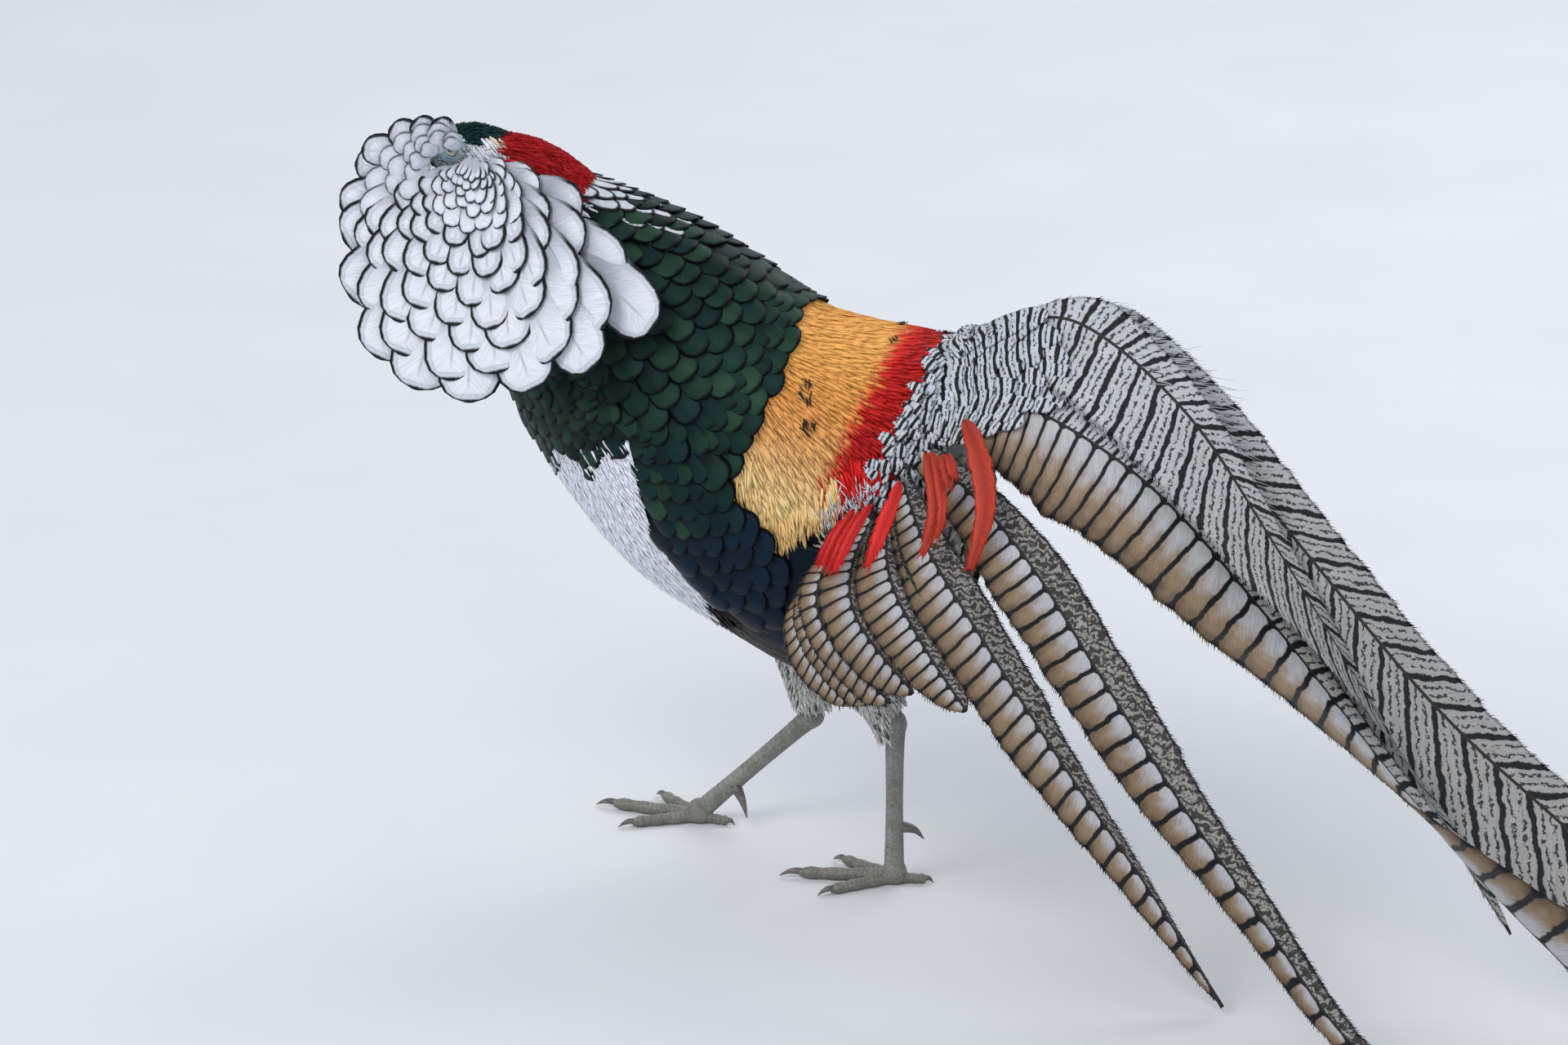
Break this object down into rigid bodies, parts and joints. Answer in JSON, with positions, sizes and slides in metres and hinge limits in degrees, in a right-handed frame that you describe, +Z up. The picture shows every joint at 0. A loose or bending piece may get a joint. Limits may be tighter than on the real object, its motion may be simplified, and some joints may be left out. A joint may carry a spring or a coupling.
{
  "type": "lady amhersts pheasant model",
  "caption": "Life-size still model of a male Lady Amherst's pheasant in its sideways display, cape fanned over the head and long barred tail trailing to the floor.",
  "frame": {"origin": "on the floor at the centre of the flat under the ball of the left foot", "axes": "+X towards the tail, the bird faces -X; -Y is its left side, the one it shows; +Z up"},
  "size_m": [0.9084, 0.358, 0.3848],
  "materials": {
    "crown_green": "glossy feathers",
    "eye": "polished",
    "horn": "satin horn",
    "crest_crimson": "silky feathers",
    "cape_white": "feathers, white with black rims",
    "mantle_green": "glossy scaled feathers",
    "rump_gold": "hair-like feathers",
    "tail_barred": "feathers, white with black bars",
    "tail_brown": "feathers, buff with black bars",
    "wing_blue": "glossy feathers",
    "thigh_grey": "down, mottled",
    "leg_grey": "scaled skin, matt"
  },
  "bodies": {
    "root": {"head": "crown_green", "eye_left": "eye", "eye_right": "eye", "bill_upper": "horn", "bill_lower": "horn", "crest": "crest_crimson", "neck": "cape_white", "cape_left": "cape_white", "cape_right": "cape_white", "torso_front": "mantle_green", "torso_rear": "rump_gold", "tail_base": "tail_barred", "wing_left": "wing_blue", "wing_right": "wing_blue", "thigh_left": "thigh_grey", "thigh_right": "thigh_grey", "shank_left": "leg_grey", "shank_right": "leg_grey", "foot_left": "leg_grey", "foot_right": "leg_grey", "tail_central": "tail_barred", "tail_left": "tail_brown", "tail_right": "tail_brown", "tail_coverts_upper": "tail_barred", "undertail_coverts": "thigh_grey"}
  },
  "joints": []
}
